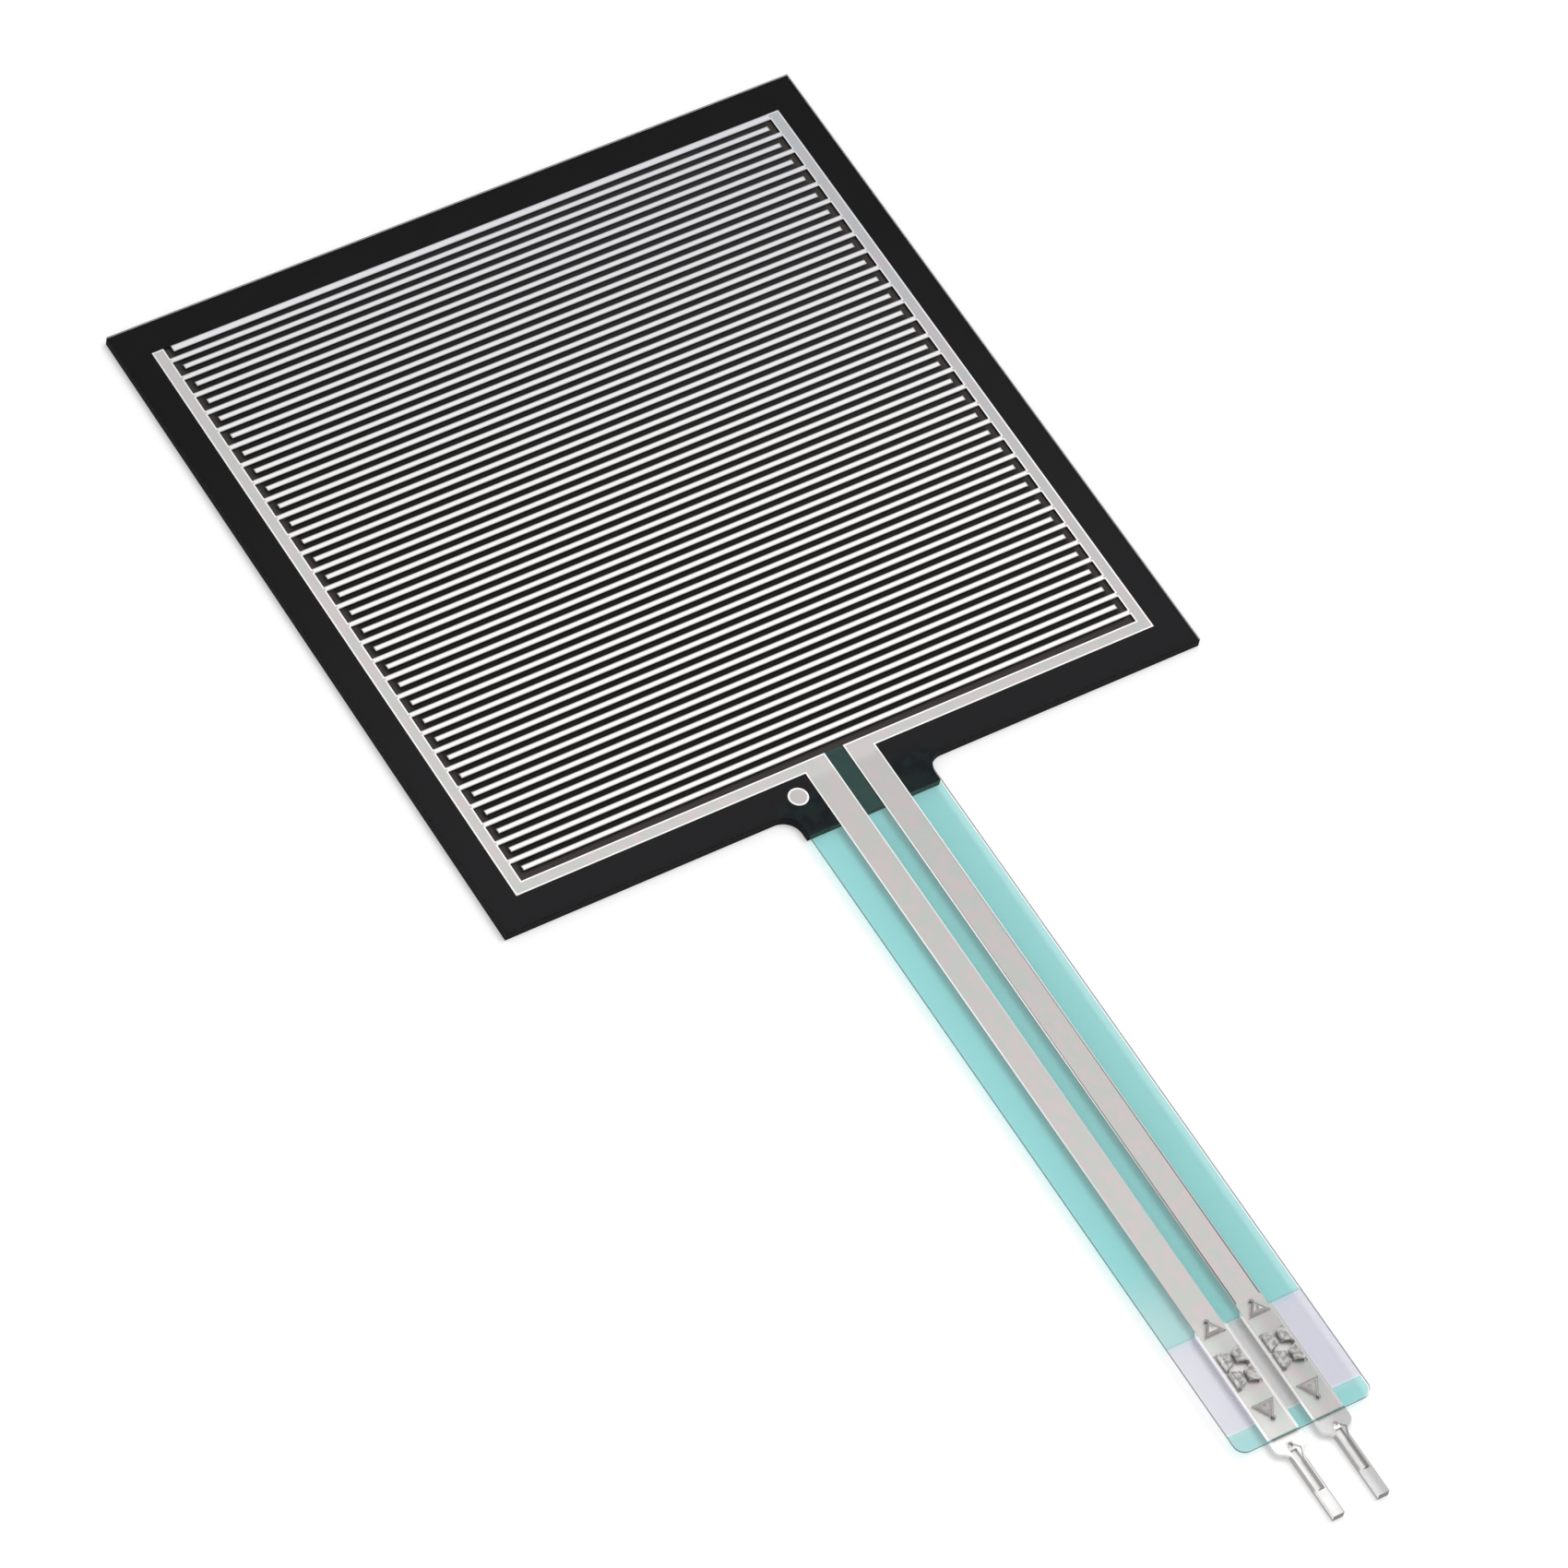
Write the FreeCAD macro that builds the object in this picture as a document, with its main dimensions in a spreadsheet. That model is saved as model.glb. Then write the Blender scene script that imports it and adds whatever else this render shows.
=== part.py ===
import FreeCAD, Part
import Sketcher
import math
import os
import re

# A force sensing resistor: a square film sensor with a long tail and two crimped terminals.
# The origin is the middle of the square head on the resting surface.
# +Z points up through the layers and +Y points away from the tail. All sizes are in millimetres.

os.makedirs("parts", exist_ok=True)
document = FreeCAD.newDocument("ForceSensingResistor")

# Each electrode has this many thin fingers, and the right one has a wide top finger as well.
FINGERS = 29

# Sizes that are read from the photo or that such sensors are made with.
CHOSEN_SIZES = [
    ("head_side", 40.0, "side of the square head"),
    ("tail_width", 7.62, "width of the tail"),
    ("tail_length", 40.6, "tail beyond the head"),
    ("neck_tab", 1.47, "lower layers beyond the head"),
    ("neck_radius", 1.0, "inside corner between head and tail"),
    ("tail_corner", 0.6, "rounded corner at the tail's end"),
    ("liner_thickness", 0.09, "peel-off liner"),
    ("glue_thickness", 0.05, "rear mounting adhesive"),
    ("backing_thickness", 0.13, "lower film"),
    ("carbon_thickness", 0.015, "carbon ink"),
    ("spacer_thickness", 0.145, "spacer adhesive below the silver"),
    ("silver_thickness", 0.015, "silver ink"),
    ("cover_thickness", 0.015, "teal ink below the silver"),
    ("film_thickness", 0.13, "clear top film"),
    ("side_border", 1.61, "head edge to the outer edge of a bus"),
    ("top_border", 1.78, "head edge to the top finger"),
    ("foot_border", 1.77, "head edge to the foot bus"),
    ("bus_width", 0.65, "bus along each side and along the foot"),
    ("top_finger", 0.37, "width of the wide top finger"),
    ("finger_width", 0.28, "width of a finger"),
    ("finger_end_gap", 0.42, "free end of a finger to the other bus"),
    ("foot_gap", 0.48, "lowest finger to the foot bus"),
    ("trace_pitch", 2.54, "middle to middle of the traces and terminals"),
    ("trace_width", 1.48, "width of a trace"),
    ("trace_setback", 0.12, "end of a trace to the end of the film"),
    ("dot_diameter", 1.05, "round silver mark"),
    ("dot_offset", 3.04, "mark from the middle line"),
    ("dot_border", 0.74, "mark from the head edge"),
    ("ink_margin", 0.05, "teal ink back from the film edge"),
    ("band_length", 1.16, "film end to the inner edge of the end band"),
    ("window_length", 5.3, "clear window between the two teal inks"),
    ("sheet_thickness", 0.215, "sheet metal of a terminal"),
    ("plate_width", 1.8, "terminal plate under the film"),
    ("plate_reach", 7.25, "film end to the inner end of the plate"),
    ("plate_nose", 0.75, "length of the tapered inner end"),
    ("nose_width", 0.8, "width of the inner end"),
    ("plate_overhang", 0.38, "full width plate beyond the film"),
    ("shoulder_length", 0.9, "curved taper from the plate to the pin"),
    ("pin_width", 0.6, "width of the pin"),
    ("pin_reach", 4.72, "tip of the pin from the film end"),
    ("pin_root", 0.5, "film end to the root of the folded pin"),
    ("channel_width", 0.36, "open channel along the pin"),
    ("channel_depth", 0.25, "depth of the channel"),
    ("channel_start", 0.75, "film end to the start of the channel"),
    ("channel_end", 3.06, "film end to the end of the channel"),
    ("notch_length", 0.16, "deep notch that closes the channel"),
    ("notch_depth", 0.34, "depth of the notch"),
    ("mouth_start", 0.56, "film end to the start of the channel's wide mouth"),
    ("mouth_middle", 0.8, "film end to the widest part of the mouth"),
    ("mouth_end", 1.4, "film end to the end of the mouth"),
    ("mouth_width", 0.84, "widest part of the mouth"),
    ("mouth_depth", 0.09, "depth of the mouth"),
    ("eye_middle", 0.5, "film end to the middle of the round relief"),
    ("eye_diameter", 0.24, "round relief where the fold starts"),
    ("eye_depth", 0.16, "depth of the round relief"),
    ("crimp_middle", 4.06, "film end to the middle of the curled tines"),
    ("crimp_length", 2.06, "curled tines from end to end"),
    ("crimp_gap", 0.14, "gap between the two rows of tines"),
    ("tine_root", 0.64, "outer face of a tine from the terminal's middle"),
    ("tine_tip", 0.05, "curled tip from the terminal's middle"),
    ("tine_thickness", 0.1, "metal of a tine"),
    ("tine_rise", 0.03, "straight part of a tine above the film"),
    ("bend_radius", 0.16, "outer radius of a tine's bends"),
    ("tine_corner", 0.12, "cut corner of a tine"),
    ("tine_taper", 0.24, "narrowing of a tine at each side of its tip"),
    ("lance_width", 1.02, "widest part of a pierced lance"),
    ("lance_height", 0.25, "lance above the plate"),
    ("lance_slope", 0.13, "inward slope of a lance over its height"),
    ("inner_lance_base", 6.17, "film end to the base of the inner lance"),
    ("inner_lance_length", 0.72, "length of the inner lance"),
    ("outer_lance_base", 1.96, "film end to the base of the outer lance"),
    ("outer_lance_length", 0.9, "length of the outer lance"),
    ("tip_hole", 0.2, "round hole at the tip of a lance"),
    ("slit_play", 0.05, "room between the metal and the pierced film"),
]

# Levels and positions that follow from the sizes above.
# A level is a height above the resting surface, and a reach is a distance from the middle of the head.
DERIVED_SIZES = [
    ("glue_base", "liner_thickness"),
    ("backing_base", "glue_base + glue_thickness"),
    ("carbon_base", "backing_base + backing_thickness"),
    ("spacer_base", "carbon_base + carbon_thickness"),
    ("silver_base", "spacer_base + spacer_thickness"),
    ("film_base", "silver_base + silver_thickness"),
    ("film_top", "film_base + film_thickness"),
    ("cover_base", "silver_base - cover_thickness"),
    ("plate_base", "silver_base - sheet_thickness"),
    ("pin_base", "plate_base - sheet_thickness"),
    ("head_reach", "head_side / 2"),
    ("tail_half", "tail_width / 2"),
    ("ink_half", "tail_half - ink_margin"),
    ("ink_corner", "tail_corner - ink_margin"),
    ("neck_reach", "head_reach + neck_tab"),
    ("tail_reach", "head_reach + tail_length"),
    ("ink_reach", "tail_reach - ink_margin"),
    ("band_reach", "tail_reach - band_length"),
    ("window_reach", "band_reach - window_length"),
    ("trace_reach", "tail_reach - trace_setback"),
    ("bus_outside", "head_reach - side_border"),
    ("bus_inside", "bus_outside - bus_width"),
    ("finger_end", "bus_inside - finger_end_gap"),
    ("comb_top", "head_reach - top_border"),
    ("foot_outside", "head_reach - foot_border"),
    ("foot_inside", "foot_outside - bus_width"),
    ("top_finger_foot", "comb_top - top_finger"),
    ("finger_pitch", f"(top_finger_foot + foot_inside - foot_gap) / {2 * FINGERS}"),
    ("finger_gap", "finger_pitch - finger_width"),
    ("trace_middle", "trace_pitch / 2"),
    ("trace_near", "trace_middle - trace_width / 2"),
    ("trace_far", "trace_middle + trace_width / 2"),
    ("plate_half", "plate_width / 2"),
    ("plate_near", "trace_middle - plate_half"),
    ("plate_far", "trace_middle + plate_half"),
    ("nose_half", "nose_width / 2"),
    ("pin_half", "pin_width / 2"),
    ("nose_reach", "tail_reach - plate_reach"),
    ("nose_foot", "nose_reach + plate_nose"),
    ("shoulder_start", "tail_reach + plate_overhang"),
    ("shoulder_end", "shoulder_start + shoulder_length"),
    ("shoulder_middle", "(shoulder_start + shoulder_end) / 2"),
    ("shoulder_half", "(plate_half + pin_half) / 2"),
    ("shoulder_step", "plate_half - pin_half"),
    ("shoulder_radius", "(shoulder_step ^ 2 + shoulder_length ^ 2) / (4 * shoulder_step)"),
    ("pin_tip", "tail_reach + pin_reach"),
    ("crimp_reach", "tail_reach - crimp_middle"),
    ("curl_level", "film_top + tine_rise"),
    ("curl_top", "curl_level + bend_radius"),
    ("curl_inside", "curl_top - tine_thickness"),
    ("root_bend", "tine_root - bend_radius"),
    ("tip_bend", "tine_tip + bend_radius"),
]

sheet = document.addObject("Spreadsheet::Sheet", "Sizes")
for row, (name, number, meaning) in enumerate(CHOSEN_SIZES, start=1):
    sheet.set(f"A{row}", meaning)
    sheet.set(f"B{row}", str(number))
    sheet.setAlias(f"B{row}", name)
for row, (name, formula) in enumerate(DERIVED_SIZES, start=1):
    sheet.set(f"D{row}", name.replace("_", " "))
    sheet.set(f"E{row}", "=" + formula)
    sheet.setAlias(f"E{row}", name)
document.recompute()


def size(formula):
    """The present value of a formula of sheet names."""
    return float(sheet.evalExpression(formula))


def bound(formula):
    """The same formula for an object outside the sheet."""
    return re.sub(r"[a-z][a-z_]+", r"Sizes.\g<0>", formula)


def mirrored(formula):
    return f"-({formula})"


def new_body(name):
    body = document.addObject("PartDesign::Body", name)
    body.Label = name
    return body


def new_sketch(body, name, level, role="XY_Plane"):
    """A sketch on one of the body's own planes, moved along that plane's normal."""
    plane = [feature for feature in body.Origin.OriginFeatures if feature.Role == role][0]
    sketch = body.newObject("Sketcher::SketchObject", name)
    sketch.AttachmentSupport = [(plane, "")]
    sketch.MapMode = "FlatFace"
    sketch.setExpression("AttachmentOffset.Base.z", bound(level))
    return sketch


def fix_point(sketch, geometry, point, across, along):
    """Hold a sketch point at two formulas. A formula of None leaves that direction to its neighbours."""
    for direction, formula in (("DistanceX", across), ("DistanceY", along)):
        if formula is not None:
            held = Sketcher.Constraint(direction, -1, 1, geometry, point, size(formula))
            index = sketch.addConstraint(held)
            sketch.setExpression(f"Constraints[{index}]", bound(formula))


def add_loop(sketch, corners):
    """A closed loop of lines through corners, each a pair of formulas.

    A corner with two more formulas and a turn starts an arc around that centre instead of a line.
    The turn is 1 for anticlockwise and -1 for clockwise.
    """
    first = sketch.GeometryCount
    count = len(corners)
    spots = [FreeCAD.Vector(size(corner[0]), size(corner[1]), 0) for corner in corners]
    starts = []
    ends = []
    for index, corner in enumerate(corners):
        here = spots[index]
        there = spots[(index + 1) % count]
        if len(corner) == 2:
            sketch.addGeometry(Part.LineSegment(here, there))
            starts.append(1)
            ends.append(2)
            continue
        centre = FreeCAD.Vector(size(corner[2]), size(corner[3]), 0)
        turn = corner[4]
        low, high = (here, there) if turn > 0 else (there, here)
        low_angle = math.atan2(low.y - centre.y, low.x - centre.x)
        high_angle = math.atan2(high.y - centre.y, high.x - centre.x)
        if high_angle <= low_angle:
            high_angle = high_angle + 2 * math.pi
        circle = Part.Circle(centre, FreeCAD.Vector(0, 0, 1), here.distanceToPoint(centre))
        sketch.addGeometry(Part.ArcOfCircle(circle, low_angle, high_angle))
        starts.append(1 if turn > 0 else 2)
        ends.append(2 if turn > 0 else 1)
    for index in range(count):
        following = (index + 1) % count
        joined = (first + index, ends[index], first + following, starts[following])
        sketch.addConstraint(Sketcher.Constraint("Coincident", *joined))
    for index, corner in enumerate(corners):
        if len(corner) > 2:
            fix_point(sketch, first + index, 3, corner[2], corner[3])
        previous = corners[index - 1]
        across, along = corner[0], corner[1]
        if len(previous) > 2:
            # The arc already holds its far end at the right distance from its centre.
            level_end = abs(spots[index].y - size(previous[3])) < abs(spots[index].x - size(previous[2]))
            across, along = (None, along) if level_end else (across, None)
        fix_point(sketch, first + index, starts[index], across, along)


def add_box_loop(sketch, left, right, low, high):
    add_loop(sketch, [(left, low), (right, low), (right, high), (left, high)])


def add_circle(sketch, across, along, radius):
    spot = FreeCAD.Vector(size(across), size(along), 0)
    index = sketch.addGeometry(Part.Circle(spot, FreeCAD.Vector(0, 0, 1), size(radius)))
    fix_point(sketch, index, 3, across, along)
    held = sketch.addConstraint(Sketcher.Constraint("Radius", index, size(radius)))
    sketch.setExpression(f"Constraints[{held}]", bound(radius))


def add_pad(body, name, sketch, height):
    pad = body.newObject("PartDesign::Pad", name)
    pad.Profile = sketch
    pad.setExpression("Length", bound(height))
    sketch.Visibility = False
    return pad


def add_pocket(body, name, sketch, depth, upward=False):
    pocket = body.newObject("PartDesign::Pocket", name)
    pocket.Profile = sketch
    pocket.Reversed = upward
    pocket.setExpression("Length", bound(depth))
    sketch.Visibility = False
    return pocket


def neck_corners(reach, tail_end):
    """The head with its neck, from the right side of the tail round to the left.

    tail_end lists the corners that close the tail at the reach given.
    """
    right = [
        ("tail_half", "-head_reach - neck_radius",
         "tail_half + neck_radius", "-head_reach - neck_radius", -1),
        ("tail_half + neck_radius", "-head_reach"),
        ("head_reach", "-head_reach"),
        ("head_reach", "head_reach"),
    ]
    left = [
        ("-head_reach", "head_reach"),
        ("-head_reach", "-head_reach"),
        ("-tail_half - neck_radius", "-head_reach",
         "-tail_half - neck_radius", "-head_reach - neck_radius", -1),
        ("-tail_half", "-head_reach - neck_radius"),
    ]
    return right + left + tail_end


# Layers below the spacer: the head and a short tab under the start of the tail.
def build_lower_layer(name, base, thickness):
    body = new_body(name)
    outline = new_sketch(body, name + "_outline", base)
    add_loop(outline, neck_corners("neck_reach", [
        ("-tail_half", "-neck_reach"),
        ("tail_half", "-neck_reach"),
    ]))
    add_pad(body, name + "_sheet", outline, thickness)
    return body


# Pierced openings for one terminal: four slits for the tines and a triangle for each lance.
def add_pierced_loops(sketch, middle):
    for row in (-1, 1):
        near = f"-crimp_reach + ({row}) * (crimp_gap / 2 - slit_play)"
        far = f"-crimp_reach + ({row}) * (crimp_length / 2 + slit_play)"
        low, high = (far, near) if row < 0 else (near, far)
        for side in (-1, 1):
            inner = f"{middle} + ({side}) * (tine_root - tine_thickness - slit_play)"
            outer = f"{middle} + ({side}) * (tine_root + slit_play)"
            left, right = (outer, inner) if side < 0 else (inner, outer)
            add_box_loop(sketch, left, right, low, high)
    add_lance_loop(sketch, middle, "inner_lance_base", "inner_lance_length", 1, "slit_play")
    add_lance_loop(sketch, middle, "outer_lance_base", "outer_lance_length", -1, "slit_play")


# A triangle with its base across the tail. It points towards the head for 1 and to the pins for -1.
def add_lance_loop(sketch, middle, base, length, way, play):
    foot = f"{base} - tail_reach - ({way}) * {play}"
    point = f"{base} - tail_reach + ({way}) * ({length} + 2 * {play})"
    half = f"lance_width / 2 + 2 * {play}"
    corners = [(f"{middle} - ({half})", foot), (f"{middle} + {half}", foot), (middle, point)]
    add_loop(sketch, corners)


# Round holes at the tips of the two lances of one terminal.
def add_tip_holes(sketch, middle, play):
    radius = f"tip_hole / 2 + {play}"
    add_circle(sketch, middle, "inner_lance_base + inner_lance_length - tail_reach", radius)
    add_circle(sketch, middle, "outer_lance_base - outer_lance_length - tail_reach", radius)


# Clear top film: head and tail in one sheet, with the openings that the tines pierce.
def build_electrode_film():
    body = new_body("electrode_film")
    outline = new_sketch(body, "film_outline", "film_base")
    tail_end = [
        ("-tail_half", "-tail_reach + tail_corner",
         "-tail_half + tail_corner", "-tail_reach + tail_corner", 1),
        ("-tail_half + tail_corner", "-tail_reach"),
        ("tail_half - tail_corner", "-tail_reach",
         "tail_half - tail_corner", "-tail_reach + tail_corner", 1),
        ("tail_half", "-tail_reach + tail_corner"),
    ]
    add_loop(outline, neck_corners("tail_reach", tail_end))
    add_pad(body, "film_sheet", outline, "film_thickness")
    openings = new_sketch(body, "film_openings", "film_top")
    holes = new_sketch(body, "film_tip_holes", "film_top")
    for side in (-1, 1):
        add_pierced_loops(openings, f"({side}) * trace_middle")
        add_tip_holes(holes, f"({side}) * trace_middle", "slit_play")
    add_pocket(body, "film_pierced", openings, "film_thickness")
    add_pocket(body, "film_tip_holes_cut", holes, "film_thickness")
    return body


# Silver comb: a side bus, half of the foot bus, the trace down the tail and the thin fingers.
# The side is -1 for the left comb and 1 for the right one.
def build_electrode(name, side):
    body = new_body(name)
    near = f"({side}) * trace_near"
    far = f"({side}) * trace_far"
    outside = f"({side}) * bus_outside"
    inside = f"({side}) * bus_inside"
    free_end = f"({-side}) * finger_end"
    bus = new_sketch(body, name + "_bus", "silver_base")
    corners = [
        (near, "-trace_reach"),
        (far, "-trace_reach"),
        (far, "-foot_outside"),
        (outside, "-foot_outside"),
        (outside, "comb_top"),
    ]
    if side > 0:
        corners.extend([(free_end, "comb_top"), (free_end, "top_finger_foot"), (inside, "top_finger_foot")])
    else:
        corners.append((inside, "comb_top"))
    corners.extend([(inside, "-foot_inside"), (near, "-foot_inside")])
    add_loop(bus, corners)
    add_pad(body, name + "_bus_print", bus, "silver_thickness")

    # The left comb has the first thin finger below the top one, and the right comb has the second.
    skipped = "finger_pitch" if side > 0 else "0"
    finger_top = f"top_finger_foot - finger_gap - {skipped}"
    finger = new_sketch(body, name + "_finger", "silver_base")
    bus_middle = f"({side}) * (bus_inside + bus_outside) / 2"
    left, right = (bus_middle, free_end) if side < 0 else (free_end, bus_middle)
    add_box_loop(finger, left, right, f"{finger_top} - finger_width", finger_top)
    finger_print = add_pad(body, name + "_finger_print", finger, "silver_thickness")
    comb = body.newObject("PartDesign::LinearPattern", name + "_comb")
    comb.Originals = [finger_print]
    comb.Direction = (finger, ["V_Axis"])
    comb.Reversed = True
    comb.setExpression("Length", bound(f"{2 * (FINGERS - 1)} * finger_pitch"))
    comb.Occurrences = FINGERS
    body.Tip = comb

    openings = new_sketch(body, name + "_openings", "film_base")
    add_pierced_loops(openings, f"({side}) * trace_middle")
    add_pocket(body, name + "_pierced", openings, "silver_thickness")
    holes = new_sketch(body, name + "_tip_holes", "film_base")
    add_tip_holes(holes, f"({side}) * trace_middle", "slit_play")
    add_pocket(body, name + "_tip_holes_cut", holes, "silver_thickness")
    return body


# Round silver mark between the left trace and the lower edge of the head.
def build_registration_dot():
    body = new_body("registration_dot")
    outline = new_sketch(body, "dot_outline", "silver_base")
    add_circle(outline, "-dot_offset", "dot_border - head_reach", "dot_diameter / 2")
    add_pad(body, "dot_print", outline, "silver_thickness")
    return body


# Teal ink of the tail: a thin layer under the traces that also fills the strips beside them.
def build_tail_dielectric():
    body = new_body("tail_dielectric")
    cover = new_sketch(body, "cover_outline", "cover_base")
    add_loop(cover, [
        ("-ink_half", "-window_reach"),
        ("ink_half", "-window_reach"),
        ("ink_half", "-neck_reach"),
        ("trace_near", "-neck_reach"),
        ("trace_near", "-foot_inside"),
        ("-trace_near", "-foot_inside"),
        ("-trace_near", "-neck_reach"),
        ("-ink_half", "-neck_reach"),
    ])
    add_pad(body, "cover_print", cover, "cover_thickness")
    strips = new_sketch(body, "strip_outlines", "silver_base")
    add_box_loop(strips, "-ink_half", "-trace_far", "-window_reach", "-neck_reach")
    add_box_loop(strips, "-trace_near", "trace_near", "-window_reach", "-foot_inside")
    add_box_loop(strips, "trace_far", "ink_half", "-window_reach", "-neck_reach")
    add_pad(body, "strip_print", strips, "silver_thickness")
    seats = new_sketch(body, "plate_seats", "silver_base")
    for side in (-1, 1):
        left = f"({side}) * trace_middle - plate_half - slit_play"
        right = f"({side}) * trace_middle + plate_half + slit_play"
        add_box_loop(seats, left, right, "-window_reach - slit_play", "-nose_reach + slit_play")
    add_pocket(body, "plate_seat", seats, "cover_thickness")
    return body


# Teal band at the end of the tail. It fills the strips beside the plates and joins them at the end.
def build_end_dielectric():
    body = new_body("end_dielectric")
    outline = new_sketch(body, "band_outline", "silver_base")
    add_loop(outline, [
        ("-ink_half", "-band_reach"),
        ("-ink_half", "-ink_reach + ink_corner",
         "-ink_half + ink_corner", "-ink_reach + ink_corner", 1),
        ("-ink_half + ink_corner", "-ink_reach"),
        ("ink_half - ink_corner", "-ink_reach",
         "ink_half - ink_corner", "-ink_reach + ink_corner", 1),
        ("ink_half", "-ink_reach + ink_corner"),
        ("ink_half", "-band_reach"),
        ("plate_far", "-band_reach"),
        ("plate_far", "-trace_reach"),
        ("plate_near", "-trace_reach"),
        ("plate_near", "-band_reach"),
        ("-plate_near", "-band_reach"),
        ("-plate_near", "-trace_reach"),
        ("-plate_far", "-trace_reach"),
        ("-plate_far", "-band_reach"),
    ])
    add_pad(body, "band_print", outline, "silver_thickness")
    return body


# A frame round the fingers that is open along the middle of the neck.
def frame_corners(channel, side, foot, top):
    return neck_corners("neck_reach", [
        ("-tail_half", "-neck_reach"),
        (mirrored(channel), "-neck_reach"),
        (mirrored(channel), mirrored(foot)),
        (mirrored(side), mirrored(foot)),
        (mirrored(side), top),
        (side, top),
        (side, mirrored(foot)),
        (channel, mirrored(foot)),
        (channel, "-neck_reach"),
        ("tail_half", "-neck_reach"),
    ])


# Spacer adhesive: a frame below the silver, and a narrower one that fills in beside it.
def build_spacer():
    body = new_body("spacer_adhesive")
    frame = new_sketch(body, "spacer_frame", "spacer_base")
    add_loop(frame, frame_corners("trace_near", "bus_inside", "foot_inside", "comb_top"))
    add_pad(body, "spacer_sheet", frame, "spacer_thickness")
    rim = new_sketch(body, "spacer_rim", "silver_base")
    add_loop(rim, frame_corners("trace_far", "bus_outside", "foot_outside", "comb_top"))
    add_circle(rim, "-dot_offset", "dot_border - head_reach", "dot_diameter / 2")
    add_pad(body, "spacer_fill", rim, "silver_thickness")
    return body


# Crimped terminal, drawn around its own middle line and then moved to its trace.
def build_terminal(name, side):
    body = new_body(name)
    plate = new_sketch(body, name + "_plate", "plate_base")
    right_half = [
        ("pin_half", "-pin_tip"),
        ("pin_half", "-shoulder_end", "pin_half + shoulder_radius", "-shoulder_end", -1),
        ("shoulder_half", "-shoulder_middle", "plate_half - shoulder_radius", "-shoulder_start", 1),
        ("plate_half", "-shoulder_start"),
        ("plate_half", "-nose_foot"),
        ("nose_half", "-nose_reach"),
    ]
    left_half = [
        ("-nose_half", "-nose_reach"),
        ("-plate_half", "-nose_foot"),
        ("-plate_half", "-shoulder_start", "shoulder_radius - plate_half", "-shoulder_start", 1),
        ("-shoulder_half", "-shoulder_middle", "-pin_half - shoulder_radius", "-shoulder_end", -1),
        ("-pin_half", "-shoulder_end"),
        ("-pin_half", "-pin_tip"),
    ]
    add_loop(plate, right_half + left_half)
    add_pad(body, name + "_plate_sheet", plate, "sheet_thickness")

    pin = new_sketch(body, name + "_pin", "pin_base")
    add_box_loop(pin, "-pin_half", "pin_half", "-pin_tip", "-tail_reach - pin_root")
    add_pad(body, name + "_pin_fold", pin, "2 * sheet_thickness")
    channel = new_sketch(body, name + "_channel", "silver_base")
    add_box_loop(channel, "-channel_width / 2", "channel_width / 2",
                 "-tail_reach - channel_end", "-tail_reach - channel_start")
    add_pocket(body, name + "_channel_cut", channel, "channel_depth")
    notch = new_sketch(body, name + "_notch", "silver_base")
    add_box_loop(notch, "-channel_width / 2", "channel_width / 2",
                 "-tail_reach - channel_end - notch_length", "-tail_reach - channel_end")
    add_pocket(body, name + "_notch_cut", notch, "notch_depth")
    mouth = new_sketch(body, name + "_mouth", "silver_base")
    add_loop(mouth, [
        ("-channel_width / 2", "-tail_reach - mouth_end"),
        ("channel_width / 2", "-tail_reach - mouth_end"),
        ("mouth_width / 2", "-tail_reach - mouth_middle"),
        ("channel_width / 2", "-tail_reach - mouth_start"),
        ("-channel_width / 2", "-tail_reach - mouth_start"),
        ("-mouth_width / 2", "-tail_reach - mouth_middle"),
    ])
    add_pocket(body, name + "_mouth_cut", mouth, "mouth_depth")
    eye = new_sketch(body, name + "_eye", "silver_base")
    add_circle(eye, "0", "-tail_reach - eye_middle", "eye_diameter / 2")
    add_pocket(body, name + "_eye_cut", eye, "eye_depth")

    curls = new_sketch(body, name + "_curls", "crimp_reach + crimp_length / 2", "XZ_Plane")
    for way in (-1, 1):
        root = f"({way}) * tine_root"
        root_inside = f"({way}) * (tine_root - tine_thickness)"
        root_bend = f"({way}) * root_bend"
        tip = f"({way}) * tine_tip"
        tip_inside = f"({way}) * (tine_tip + tine_thickness)"
        tip_bend = f"({way}) * tip_bend"
        add_loop(curls, [
            (root, "silver_base"),
            (root, "curl_level", root_bend, "curl_level", way),
            (root_bend, "curl_top"),
            (tip_bend, "curl_top", tip_bend, "curl_level", way),
            (tip, "curl_level"),
            (tip, "film_top"),
            (tip_inside, "film_top"),
            (tip_inside, "curl_level", tip_bend, "curl_level", -way),
            (tip_bend, "curl_inside"),
            (root_bend, "curl_inside", root_bend, "curl_level", -way),
            (root_inside, "curl_level"),
            (root_inside, "silver_base"),
        ])
    curl_pad = add_pad(body, name + "_curled_tines", curls, "crimp_length")
    curl_pad.Reversed = True

    trimmed = new_sketch(body, name + "_tine_trim", "silver_base")
    add_box_loop(trimmed, "-plate_half", "plate_half",
                 "-crimp_reach - crimp_length", "-crimp_reach + crimp_length")
    for row in (-1, 1):
        near = f"-crimp_reach + ({row}) * crimp_gap / 2"
        far = f"-crimp_reach + ({row}) * crimp_length / 2"
        far_cut = f"{far} - ({row}) * tine_corner"
        add_loop(trimmed, [
            ("-tine_root", near),
            ("-tine_root", far_cut),
            ("-tine_root + tine_corner", far),
            ("0", f"{far} - ({row}) * tine_taper"),
            ("tine_root - tine_corner", far),
            ("tine_root", far_cut),
            ("tine_root", near),
            ("0", f"{near} + ({row}) * tine_taper"),
        ])
    add_pocket(body, name + "_tine_trim_cut", trimmed, "2 * (curl_top - silver_base)", upward=True)

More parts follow.
